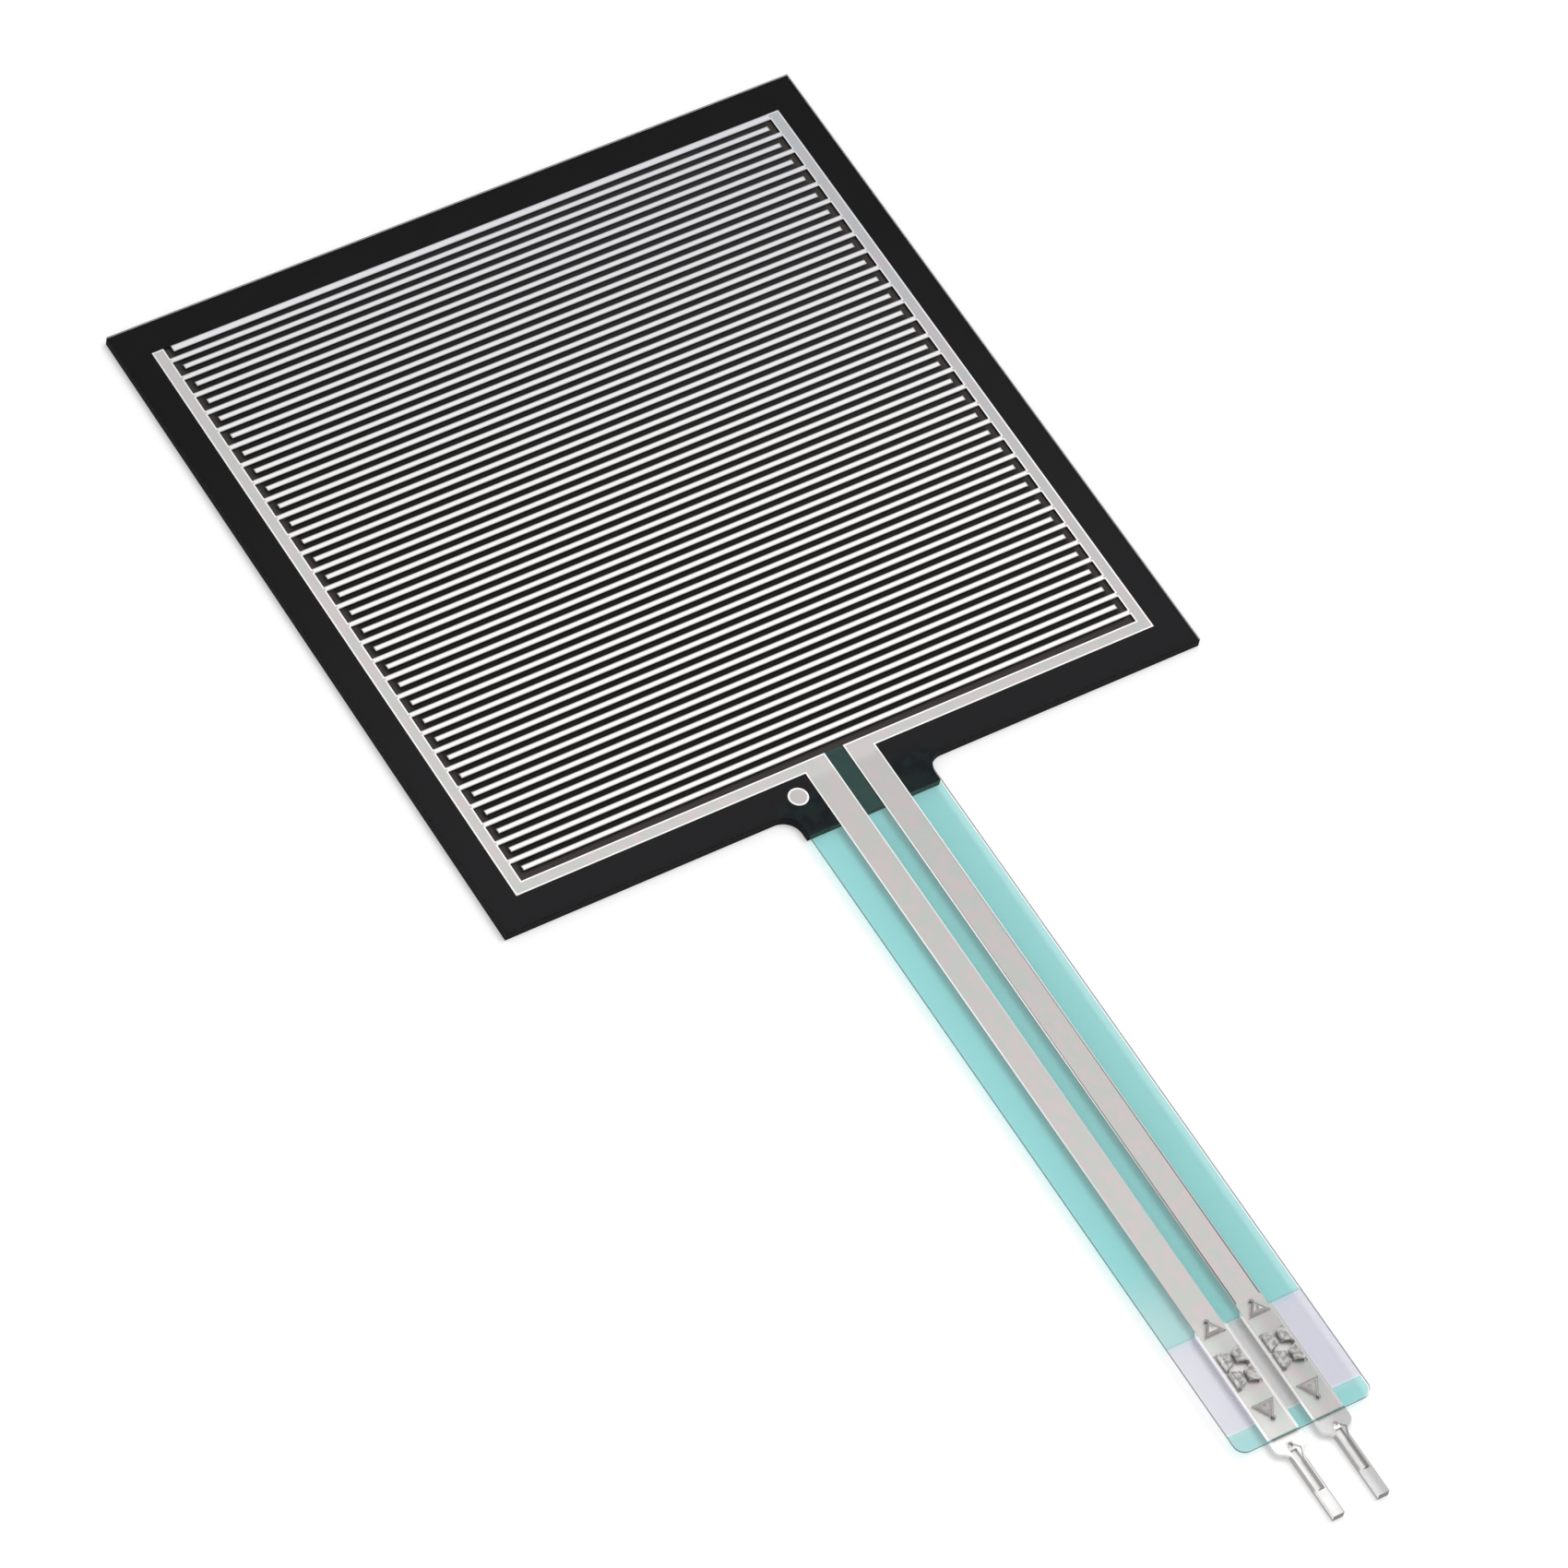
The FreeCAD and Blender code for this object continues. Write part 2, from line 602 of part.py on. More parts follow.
    for label, base, length, way in (
            ("inner", "inner_lance_base", "inner_lance_length", 1),
            ("outer", "outer_lance_base", "outer_lance_length", -1)):
        lance = new_sketch(body, f"{name}_{label}_lance", "silver_base")
        add_lance_loop(lance, "0", base, length, way, "0")
        spike = add_pad(body, f"{name}_{label}_spike", lance, "lance_height")
        spike.setExpression("TaperAngle", "-atan(Sizes.lance_slope / Sizes.lance_height)")
    holes = new_sketch(body, name + "_tip_holes", "silver_base + lance_height")
    add_tip_holes(holes, "0", "0")
    add_pocket(body, name + "_tip_holes_cut", holes, "lance_height + sheet_thickness")
    body.setExpression("Placement.Base.x", bound(f"({side}) * trace_middle"))
    return body


bodies = [
    build_lower_layer("release_liner", "0", "liner_thickness"),
    build_lower_layer("rear_adhesive", "glue_base", "glue_thickness"),
    build_lower_layer("backing_film", "backing_base", "backing_thickness"),
    build_lower_layer("carbon_layer", "carbon_base", "carbon_thickness"),
    build_spacer(),
    build_electrode("left_electrode", -1),
    build_electrode("right_electrode", 1),
    build_registration_dot(),
    build_tail_dielectric(),
    build_end_dielectric(),
    build_electrode_film(),
    build_terminal("left_terminal", -1),
    build_terminal("right_terminal", 1),
]
document.recompute()

for item in document.Objects:
    for word in ("Invalid", "Error"):
        if word in item.State:
            raise RuntimeError(f"{item.Name} is {word}")

for body in bodies:
    shape = body.Shape
    if shape.isNull() or not shape.isValid() or len(shape.Solids) != 1:
        raise RuntimeError(f"{body.Label} is not one valid solid")
    shape.exportStep(f"parts/{body.Label}.step")
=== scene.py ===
from math import radians

import bmesh
import bpy
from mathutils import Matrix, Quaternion, Vector


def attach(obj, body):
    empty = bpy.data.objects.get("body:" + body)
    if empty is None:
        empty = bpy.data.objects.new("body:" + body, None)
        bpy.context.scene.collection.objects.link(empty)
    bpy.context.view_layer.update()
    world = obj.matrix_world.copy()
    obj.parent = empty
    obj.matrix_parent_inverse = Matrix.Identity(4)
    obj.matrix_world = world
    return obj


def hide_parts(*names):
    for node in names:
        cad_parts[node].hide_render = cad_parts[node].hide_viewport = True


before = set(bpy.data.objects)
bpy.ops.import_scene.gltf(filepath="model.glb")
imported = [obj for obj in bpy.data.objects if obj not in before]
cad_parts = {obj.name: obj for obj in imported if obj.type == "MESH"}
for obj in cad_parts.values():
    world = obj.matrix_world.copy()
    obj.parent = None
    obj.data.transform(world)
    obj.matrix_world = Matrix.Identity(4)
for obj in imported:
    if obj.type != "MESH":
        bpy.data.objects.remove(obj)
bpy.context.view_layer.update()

# A force sensing resistor lies on a white table, seen from above its lower left side.
# One unit is a metre. Names that end in _mm and the places and heights below are in millimetres.

MM = 0.001

# Heights above the table: the top of the terminals' plates, and the top of the prints on them.
PLATE_TOP = 0.430
PRINT_TOP = 0.445

# Places from the middle of the head. The tail and the pins point towards -Y, and the channels are the
# hollows along the pins.
HEAD_EDGE = 20.0
BUS_INSIDE = 17.74
LAST_FINGER = -17.1
FOOT_BUS = -18.23
NECK_END = -21.47
FILM_END = -60.6
WINDOW_HEAD = FILM_END + 6.46
WINDOW_FOOT = FILM_END + 1.16
PLATE_END = FILM_END + 7.25
CRIMP_MIDDLE = FILM_END + 4.06
CHANNEL_START = FILM_END - 0.57
PIN_START = FILM_END - 1.0
CHANNEL_END = FILM_END - 3.06
PIN_END = FILM_END - 4.72

# The traces and the terminals lie this far from the middle line.
TRACE_MIDDLE = 1.27

# The painted highlight along the silver's edges ends here, just before the terminals.
HIGHLIGHT_END = -53.5

# A hair's breadth. Prints that show through one another lie this far apart.
HAIR = 0.002

# The order of the finishes on the film and on a terminal.
SHEET, CUT_OUTLINE, SLIT = range(3)
TIN, PLATE_EDGE, PIN_EDGE, TORN_EDGE, CUT_END = range(5)


class Finish:
    """The nodes of one material or of the world."""

    def __init__(self, tree):
        self.tree = tree
        self.tree.nodes.clear()

    def add(self, kind, settings=None, **inputs):
        """One node: its settings first, then the values or links of its sockets."""
        node = self.tree.nodes.new(kind)
        for key, value in (settings or {}).items():
            setattr(node, key, value)
        for key, value in inputs.items():
            socket = node.inputs[int(key[1:]) if key[1:].isdigit() else key.replace("_", " ")]
            if isinstance(value, Amount):
                value = value.socket
            if isinstance(value, bpy.types.NodeSocket):
                self.tree.links.new(value, socket)
            else:
                socket.default_value = value
        return node

    def amount(self, node, output=0):
        return Amount(self, node.outputs[output])

    def place(self):
        """The place on the piece along X, Y and Z, in millimetres."""
        spot = self.add("ShaderNodeTexCoord").outputs["Object"]
        split = self.add("ShaderNodeSeparateXYZ", Vector=spot)
        return [Amount(self, out) / MM for out in split.outputs]

    def own_side(self, across):
        """0 on the left trace and terminal and 1 on the right, and the place across each one."""
        side = across.rise(-0.1, 0.1)
        return side, across + TRACE_MIDDLE - side * (2 * TRACE_MIDDLE)

    def speckle(self, size_mm, detail=2.0, stretch=(1, 1, 1), seed=0.0, rough=0.5):
        """Soft random variation from 0 to 1 with patches of the given size."""
        spot = self.add("ShaderNodeTexCoord").outputs["Object"]
        turned = self.add("ShaderNodeMapping", Vector=spot, Scale=stretch, Location=(seed, seed, seed))
        return self.amount(self.add(
            "ShaderNodeTexNoise", Vector=turned.outputs[0], Scale=1 / (size_mm * MM),
            Detail=detail, Roughness=rough))

    def blend(self, amount, first, second):
        """A colour that goes from first to second."""
        mixed = self.add("ShaderNodeMix", {"data_type": "RGBA"}, _0=amount, _6=first, _7=second)
        return mixed.outputs[2]

    def bump(self, height, strength, depth_mm):
        """Small dents and grain that are too fine to model."""
        return self.add("ShaderNodeBump", Height=height, Strength=strength,
                        Distance=depth_mm * MM).outputs[0]

    def seen(self):
        """1 for what the camera sees, in gloss and through film too, and 0 for light on the object."""
        path = self.add("ShaderNodeLightPath")
        seen = self.amount(path, "Is Camera Ray").most(self.amount(path, "Is Glossy Ray"))
        return seen.most(self.amount(path, "Is Transmission Ray"))

    def finish(self, shader):
        self.add("ShaderNodeOutputMaterial", Surface=shader.outputs[0])


class Amount:
    """A number that changes over a surface. Sums on it add Math nodes."""

    def __init__(self, finish, socket):
        self.finish = finish
        self.socket = socket

    def sum(self, operation, first, second=0.0):
        node = self.finish.add("ShaderNodeMath", {"operation": operation}, _0=first, _1=second)
        return Amount(self.finish, node.outputs[0])

    def __add__(self, other):
        return self.sum("ADD", self, other)

    def __radd__(self, other):
        return self.sum("ADD", other, self)

    def __sub__(self, other):
        return self.sum("SUBTRACT", self, other)

    def __rsub__(self, other):
        return self.sum("SUBTRACT", other, self)

    def __mul__(self, other):
        return self.sum("MULTIPLY", self, other)

    def __rmul__(self, other):
        return self.sum("MULTIPLY", other, self)

    def __truediv__(self, other):
        return self.sum("DIVIDE", self, other)

    def __abs__(self):
        return self.sum("ABSOLUTE", self)

    def most(self, other):
        return self.sum("MAXIMUM", self, other)

    def rise(self, low, high):
        """0 below low and 1 above high, smooth between them."""
        node = self.finish.add(
            "ShaderNodeMapRange", {"interpolation_type": "SMOOTHSTEP"},
            _0=self, _1=low, _2=high)
        return Amount(self.finish, node.outputs[0])

    def fall(self, low, high):
        """1 below low and 0 above high, smooth between them."""
        return 1 - self.rise(low, high)

    def near(self, middle, inner, outer):
        """1 within inner of the middle and 0 from outer on, to both sides."""
        return abs(self - middle).fall(inner, outer)


def new_finish(name):
    material = bpy.data.materials.new(name)
    material.use_nodes = True
    return material, Finish(material.node_tree)


def rgb(red, green, blue):
    return (red, green, blue, 1.0)


# ---- Finishes ----

def liner_paper():
    """Coated brown backing paper with a faint fibre, its cut sides painted near black as shade."""
    material, f = new_finish("liner_paper")
    _, _, up = f.place()
    fibre = f.speckle(0.35, 4.0, (1, 0.35, 1))
    cloud = f.speckle(6.0, 2.0)
    brown = f.blend(fibre * 0.6 + cloud * 0.4, rgb(0.30, 0.22, 0.145), rgb(0.42, 0.32, 0.215))
    side_shade = f.blend(fibre, rgb(0.018, 0.016, 0.015), rgb(0.034, 0.031, 0.028))
    cut_edge = up.rise(HAIR, 4 * HAIR)
    f.finish(f.add("ShaderNodeBsdfPrincipled", Base_Color=f.blend(cut_edge, brown, side_shade),
                   Roughness=0.6 + fibre * 0.2, Specular_IOR_Level=0.03,
                   Normal=f.bump(fibre, 0.25, 0.01)))
    return material


def hazy_glue():
    """Clear mounting adhesive, dark where it lies against the black film."""
    material, f = new_finish("hazy_glue")
    haze = f.speckle(0.5, 3.0)
    tone = f.blend(haze, rgb(0.016, 0.015, 0.014), rgb(0.034, 0.032, 0.03))
    f.finish(f.add("ShaderNodeBsdfPrincipled", Base_Color=tone, Roughness=0.5 + haze * 0.2,
                   Specular_IOR_Level=0.02, Normal=f.bump(haze, 0.3, 0.01)))
    return material


def black_film():
    """Black lower film, satin, with rolled-in grain."""
    material, f = new_finish("black_film")
    grain = f.speckle(0.12, 3.0, (1, 0.25, 1))
    tone = f.blend(grain, rgb(0.008, 0.008, 0.009), rgb(0.017, 0.017, 0.018))
    f.finish(f.add("ShaderNodeBsdfPrincipled", Base_Color=tone, Roughness=0.5 + grain * 0.2,
                   Specular_IOR_Level=0.02, Normal=f.bump(grain, 0.2, 0.004)))
    return material


def carbon_ink():
    """Matt carbon, a warm black with a fine sooty grain, darker in the shade between the fingers."""
    material, f = new_finish("carbon_ink")
    across, along, _ = f.place()
    soot = f.speckle(0.06, 4.0, rough=0.7)
    cloud = f.speckle(2.5, 2.0, seed=3.0)
    haze_and_shade = soot * 0.65 + cloud * 0.35
    bare = f.blend(haze_and_shade, rgb(0.037, 0.031, 0.0285), rgb(0.0715, 0.062, 0.058))
    shaded = f.blend(haze_and_shade, rgb(0.0096, 0.0092, 0.0088), rgb(0.0176, 0.0169, 0.0162))
    far_shaded = f.blend(haze_and_shade, rgb(0.026, 0.0256, 0.0260), rgb(0.040, 0.0394, 0.040))
    far_corner = (across + along).rise(-12.0, 36.0)
    under_fingers = (along.rise(LAST_FINGER - 0.2, LAST_FINGER + 0.1)
                     * across.near(0, BUS_INSIDE - 0.54, BUS_INSIDE - 0.14))
    tone = f.blend(under_fingers, bare, f.blend(far_corner, shaded, far_shaded))
    f.finish(f.add("ShaderNodeBsdfPrincipled", Base_Color=tone, Roughness=0.72 + soot * 0.2,
                   Specular_IOR_Level=0.1, Normal=f.bump(soot, 0.35, 0.006)))
    return material


def black_adhesive():
    """Black spacer under the clear film, bluer and a little mottled along the neck."""
    material, f = new_finish("black_adhesive")
    across, along, _ = f.place()
    grain = f.speckle(0.22, 3.0)
    cloud = f.speckle(3.5, 2.0, seed=1.0)
    blot = f.speckle(0.75, 3.0, seed=5.0)
    plain = f.blend(grain * 0.5 + cloud * 0.5, rgb(0.0110, 0.0109, 0.0113), rgb(0.0150, 0.0148, 0.0154))
    # Painted reflection: the head grows lighter towards the foot.
    towards_foot = along.fall(-HEAD_EDGE, HEAD_EDGE)
    head = f.blend(towards_foot, plain, rgb(0.0212, 0.0207, 0.0222))
    stained = f.blend(blot.rise(0.38, 0.62), rgb(0.0142, 0.0167, 0.0193), rgb(0.0182, 0.0254, 0.0252))
    neck = along.fall(0.1 - HEAD_EDGE, 1.1 - HEAD_EDGE) * across.near(0, 4.0, 5.2)
    f.finish(f.add("ShaderNodeBsdfPrincipled", Base_Color=f.blend(neck, head, stained),
                   Roughness=0.3 + cloud * 0.1, Specular_IOR_Level=0.005,
                   Normal=f.bump(grain, 0.05, 0.001)))
    return material


def silver_ink():
    """Printed silver: grey, with faint warm and cool patches and a painted highlight along its edges.
    """
    material, f = new_finish("silver_ink")
    across, along, _ = f.place()
    side, own = f.own_side(across)
    edge_highlight = f.amount(f.add("ShaderNodeAttribute", {"attribute_name": "edge_highlight"}), "Fac")
    mottle = f.speckle(0.55, 2.0, (1, 0.6, 1), seed=2.0).rise(0.36, 0.64)
    flake = f.speckle(0.07, 3.0, rough=0.65)
    weave = f.speckle(0.16, 1.0, seed=9.0)

    # On the head and the tail, darker towards the far corner and a little darker along the tail.
    far_corner = (across + along).rise(-30.0, 36.0)
    middle = f.blend(mottle, rgb(0.498, 0.522, 0.492), rgb(0.568, 0.505, 0.505))
    far_middle = f.blend(mottle, rgb(0.377, 0.405, 0.418), rgb(0.432, 0.392, 0.420))
    middle = f.blend(far_corner, middle, far_middle)
    middle = f.blend(flake * 0.3, middle, rgb(0.56, 0.55, 0.545))
    tail = along.fall(FOOT_BUS - 0.77, FOOT_BUS - 0.17)
    up_the_tail = along.rise(-45.0, -25.0)
    dimmed = tail * (0.06 + side * 0.03 + up_the_tail * 0.04)
    middle = f.blend(dimmed, middle, rgb(0, 0, 0))

    # Over the plates, brighter at the film's end, and painted light between and beside the tines,
    # against the shade they would cast.
    painted_light = rgb(0.80, 0.785, 0.775)
    left_part = f.blend(mottle, rgb(0.545, 0.575, 0.54), rgb(0.605, 0.56, 0.55))
    right_part = f.blend(mottle, rgb(0.375, 0.395, 0.38), rgb(0.42, 0.385, 0.38))
    on_plate = f.blend(own.rise(-0.7, 0.2) * 0.5 + side * 0.35, left_part, right_part)
    at_film_end = along.fall(FILM_END + 0.4, FILM_END + 1.8)
    on_plate = f.blend(at_film_end * (0.45 - side * 0.4), on_plate, rgb(0.66, 0.68, 0.66))
    between_tines = own.near(0, 0.2, 0.5) * along.near(CRIMP_MIDDLE, 0.4, 1.0)
    on_plate = f.blend(between_tines * 0.5, on_plate, painted_light)
    beside_tines = own.fall(-0.66, -0.6) * along.near(CRIMP_MIDDLE, 0.85, 1.05)
    on_plate = f.blend(beside_tines, on_plate, painted_light)
    middle = f.blend(along.rise(HIGHLIGHT_END - 1.5, HIGHLIGHT_END + 0.5), on_plate, middle)

    # The painted highlight along the edges, and the fingers, which are nearly all painted highlight.
    edge = f.blend(flake, rgb(0.81, 0.796, 0.782), rgb(0.885, 0.871, 0.857))
    edge = f.blend((along + across * 0.3).rise(-8.0, 28.0), edge, rgb(0.605, 0.615, 0.655))
    finger = f.blend(edge_highlight.rise(0.1, 1.0), edge, rgb(0.36, 0.352, 0.345))
    on_head = along.rise(FOOT_BUS - 0.37, FOOT_BUS - 0.17)
    bus_or_trace = f.blend((edge_highlight * (1 + on_head * 1.6)).rise(0.0, 0.6), middle, edge)
    comb = (across.near(0, BUS_INSIDE - 0.06, BUS_INSIDE + 0.02)
            * along.rise(LAST_FINGER - 0.3, LAST_FINGER - 0.1))
    f.finish(f.add("ShaderNodeBsdfPrincipled", Base_Color=f.blend(comb, bus_or_trace, finger),
                   Metallic=0.35, Roughness=0.42 + flake * 0.22, Specular_IOR_Level=0.2,
                   Normal=f.bump(flake * 0.6 + weave * 0.4, 0.25, 0.006)))
    return material


def teal_ink(name, light_through):
    """Thin teal cover ink that tints what lies under it."""
    material, f = new_finish(name)
    across, along, _ = f.place()
    cloud = f.speckle(1.6, 3.0, (1, 0.5, 1), seed=4.0)
    grain = f.speckle(0.14, 3.0)
    left_of_plates = across.fall(-1.6, -1.2) * along.fall(HIGHLIGHT_END + 0.5, HIGHLIGHT_END + 4.5)
    above_crimps = along.rise(CRIMP_MIDDLE - 1.46, CRIMP_MIDDLE + 1.54)
    thin = left_of_plates * (0.25 + above_crimps * 0.17)
    tint = f.add("ShaderNodeMixShader", _0=thin,
                 _1=f.add("ShaderNodeBsdfTransparent", Color=light_through).outputs[0],
                 _2=f.add("ShaderNodeBsdfTransparent", Color=rgb(1, 1, 1)).outputs[0])
    body = f.blend(cloud, rgb(0.155, 0.23, 0.205), rgb(0.22, 0.30, 0.275))
    paint = f.add("ShaderNodeBsdfPrincipled", Base_Color=body, Roughness=0.5 + grain * 0.2,
                  Specular_IOR_Level=0.0, Normal=f.bump(grain, 0.1, 0.003))
    # Painted shade: more paint between the traces and on the right half, so these are darker.
    between_traces = across.near(-0.25, 0.25, 0.55) * along.fall(NECK_END - 1.53, NECK_END + 0.47)
    right_half = across.rise(0.0, 0.5)
    cover_and_shade = 0.08 + cloud * 0.03 + grain * 0.01 + between_traces * 0.05 + right_half * 0.025
    f.finish(f.add("ShaderNodeMixShader", _0=cover_and_shade, _1=tint.outputs[0], _2=paint.outputs[0]))
    return material


def clear_film():
    """Clear polyester. The bare stretch near the terminals looks a little grey and lilac."""
    material, f = new_finish("clear_film")
    across, along, _ = f.place()
    haze = f.speckle(0.9, 3.0, (1, 0.6, 1), seed=6.0)
    lilac = f.blend(haze, rgb(0.10, 0.09, 0.32), rgb(0.15, 0.14, 0.40))
    # Painted shade: between the plates the haze is a neutral grey and thicker, and it grows thicker
    # towards the right.
    body = f.blend(abs(across).rise(0.2, 1.0), rgb(0.12, 0.11, 0.11), lilac)
    window = (along.fall(WINDOW_HEAD - 0.11, WINDOW_HEAD + 0.14)
              * along.rise(WINDOW_FOOT - 0.16, WINDOW_FOOT + 0.14))
    beside_plates = abs(abs(across) - TRACE_MIDDLE).rise(0.84, 0.92)
    haze_and_shade = 0.085 + haze * 0.035 + across.rise(-5.0, 5.0) * 0.06 + across.near(0, 0.4, 0.8) * 0.045
    sheet = f.add("ShaderNodeBsdfPrincipled", Base_Color=body, Roughness=0.2,
                  Specular_IOR_Level=0.0, Alpha=window * beside_plates * haze_and_shade)
    gloss = f.add("ShaderNodeBsdfGlossy", Color=rgb(1, 1, 1), Roughness=0.09)
    mirror = (f.amount(f.add("ShaderNodeFresnel", IOR=1.3)) - 0.022).most(0.0)
    seen_front = 1 - f.amount(f.add("ShaderNodeNewGeometry"), "Backfacing")
    f.finish(f.add("ShaderNodeMixShader", _0=mirror * seen_front,
                   _1=sheet.outputs[0], _2=gloss.outputs[0]))
    return material


def cut_film():
    """The cut edge of the film, painted darker as the line of shade seen along it."""
    material, f = new_finish("cut_film")
    _, along, _ = f.place()
    nick = f.speckle(0.1, 2.0)
    tail = f.blend(nick, rgb(0.015, 0.035, 0.036), rgb(0.05, 0.085, 0.088))
    head = f.blend(nick, rgb(0.006, 0.006, 0.007), rgb(0.016, 0.016, 0.018))
    over_black = along.rise(NECK_END - 0.13, NECK_END + 0.07)
    f.finish(f.add("ShaderNodeBsdfPrincipled", Base_Color=f.blend(over_black, tail, head),
                   Roughness=0.4 + nick * 0.2, Specular_IOR_Level=0.02, Alpha=0.7,
                   Normal=f.bump(nick, 0.2, 0.01)))
    return material


def pierced_film():
    """The torn walls of the slits that the metal is pushed through, painted grey as the shade round the
    metal, bruised white here and there.
    """
    material, f = new_finish("pierced_film")
    bruise = f.speckle(0.12, 3.0, seed=11.0)
    tone = f.blend(bruise, rgb(0.24, 0.235, 0.23), rgb(0.50, 0.49, 0.48))
    f.finish(f.add("ShaderNodeBsdfPrincipled", Base_Color=tone, Roughness=0.4 + bruise * 0.2,
                   Specular_IOR_Level=0.1, Alpha=0.45, Normal=f.bump(bruise, 0.2, 0.01)))
    return material


def tinned_face():
    """Bright tin over rolled sheet, with fine lines along the strip and dull patches."""
    material, f = new_finish("tinned_face")
    across, along, up = f.place()
    side, own = f.own_side(across)
    line = f.speckle(0.05, 3.0, (1, 0.08, 1), seed=7.0)
    dull_and_shaded = f.speckle(0.8, 2.0, seed=8.0)
    wear = dull_and_shaded * 0.7 + line * 0.3
    rubbed = rgb(0.36, 0.35, 0.34)

    # The bare plates beyond the film, and the pins with their channels.
    left_plate = f.blend(own.rise(-0.6, 0.6), rgb(0.80, 0.79, 0.78), rgb(0.70, 0.69, 0.68))
    right_plate = f.blend(own.rise(-0.6, 0.3), rgb(0.50, 0.495, 0.50), rgb(0.36, 0.355, 0.36))
    plates = f.blend(side, left_plate, right_plate)
    # Painted shade: the right pin is darker than the left, each pin darker towards its right, and a
    # thin dark line runs along each pin's right edge.
    left_pin = f.blend(own.rise(-0.1, 0.3), rgb(0.65, 0.645, 0.64), rgb(0.57, 0.565, 0.56))
    right_pin = f.blend(own.rise(-0.3, 0.1), rgb(0.50, 0.495, 0.50), rgb(0.345, 0.34, 0.345))
    pins = f.blend(side, left_pin, right_pin)
    pins = f.blend(own.rise(0.22, 0.26), pins, rgb(0.34, 0.335, 0.33))
    bare = f.blend(along.fall(PIN_START - 0.6, PIN_START), plates, pins)
    bare = f.blend(wear.rise(0.45, 0.75) * 0.25, bare, rubbed)
    # Painted light: the walls of each channel are near white against the shade inside it, and its floor
    # is darker.
    in_channel = own.near(0, 0.15, 0.2) * up.fall(0.38, 0.42)
    channel = f.blend(up.rise(0.185, 0.20), rgb(0.60, 0.585, 0.57), rgb(0.94, 0.93, 0.92))
    bare = f.blend(in_channel, bare, channel)
    run_out = own.near(-0.03, 0.1, 0.3) * along.near(CHANNEL_START, 0.1, 0.35)
    bare = f.blend(run_out * (0.7 - side * 0.25), bare, rubbed)

    # The plates under the film, dull in the middle and bright along both margins.
    dull_tin = f.blend(wear, rgb(0.33, 0.32, 0.31), rgb(0.45, 0.44, 0.43))
    left_margin = f.blend(own.rise(-0.6, 0.6), rgb(0.70, 0.695, 0.69), rgb(0.62, 0.61, 0.60))
    right_margin = f.blend(own.rise(-0.6, 0.6), rgb(0.62, 0.61, 0.60), rgb(0.42, 0.42, 0.42))
    margin = f.blend(side, left_margin, right_margin)
    under_film = f.blend(abs(own).rise(0.68, 0.72), dull_tin, margin)
    behind_film_end = along.rise(FILM_END - 0.2, FILM_END + 0.05)
    tone = f.blend(behind_film_end, bare, under_film)

    # The hammered tines and lances that stand above the film.
    dents = f.speckle(0.2, 3.0, seed=12.0).rise(0.36, 0.62)
    curl = f.blend(dents, rgb(0.23, 0.22, 0.215), rgb(0.47, 0.46, 0.445))
    # The two lances are the same metal: the one nearer the pins is painted darker, as shade for how
    # light falls on it.
    outer_lance = f.blend(dents, rgb(0.22, 0.205, 0.20), rgb(0.42, 0.40, 0.395))
    inner_lance = f.blend(dents, rgb(0.25, 0.24, 0.235), rgb(0.60, 0.59, 0.575))
    above_crimps = along.rise(CRIMP_MIDDLE - 1.46, CRIMP_MIDDLE + 0.54)
    lance = f.blend(above_crimps, outer_lance, inner_lance)
    above_film = behind_film_end * up.rise(0.50, 0.56)
    tone = f.blend(above_film, tone, f.blend(along.near(CRIMP_MIDDLE, 1.1, 1.3), lance, curl))
    # Painted light: the outer bends of the tines are lighter, against the shade beside them.
    bend_painted_light = f.blend(dents, rgb(0.60, 0.59, 0.58), rgb(0.85, 0.84, 0.83))
    outer_bend = abs(own).rise(0.5, 0.6) * up.rise(0.44, 0.46) * behind_film_end
    f.finish(f.add("ShaderNodeBsdfPrincipled", Base_Color=f.blend(outer_bend, tone, bend_painted_light),
                   Metallic=0.35, Roughness=0.22 + dull_and_shaded * 0.16 + line * 0.08 + above_film * 0.2,
                   Normal=f.bump(line, 0.2, 0.003)))
    return material


def sheared_edge(name, dark, light, tip_rim):
    """Bare sheared sides of the sheet metal, with the upper rim pressed smooth near a pin's tip."""
    material, f = new_finish(name)
    _, along, up = f.place()
    tear = f.speckle(0.06, 3.0, (1, 1, 0.2))
    pressed = along.fall(CHANNEL_END - 0.14, CHANNEL_END + 0.06) * up.rise(0.12, 0.19)
    tone = f.blend(pressed, f.blend(tear, dark, light), tip_rim)
    f.finish(f.add("ShaderNodeBsdfPrincipled", Base_Color=tone, Metallic=0.5,
                   Roughness=0.42 + tear * 0.2, Normal=f.bump(tear, 0.35, 0.008)))
    return material


def white_table():
    """White table that keeps the object's shadow."""
    material, f = new_finish("white_table")
    f.finish(f.add("ShaderNodeBsdfPrincipled", Base_Color=rgb(0.80, 0.80, 0.80), Roughness=0.9,
                   Specular_IOR_Level=0.0, Emission_Color=rgb(1, 1, 1),
                   Emission_Strength=f.seen() * 0.27))
    return material


# ---- Pieces ----

def merged(node):
    """A form with the faces of a solid, joined up and without its triangle lines."""
    form = bmesh.new()
    form.from_mesh(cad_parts[node].data)
    bmesh.ops.remove_doubles(form, verts=form.verts, dist=0.00001 * MM)
    bmesh.ops.dissolve_limit(form, angle_limit=radians(0.5), verts=form.verts, edges=form.edges)
    return form


def move_level(form, old_mm, new_mm):
    """Every corner at the old height goes to the new one."""
    for corner in form.verts:
        if abs(corner.co.z - old_mm * MM) < HAIR / 4 * MM:
            corner.co.z = new_mm * MM


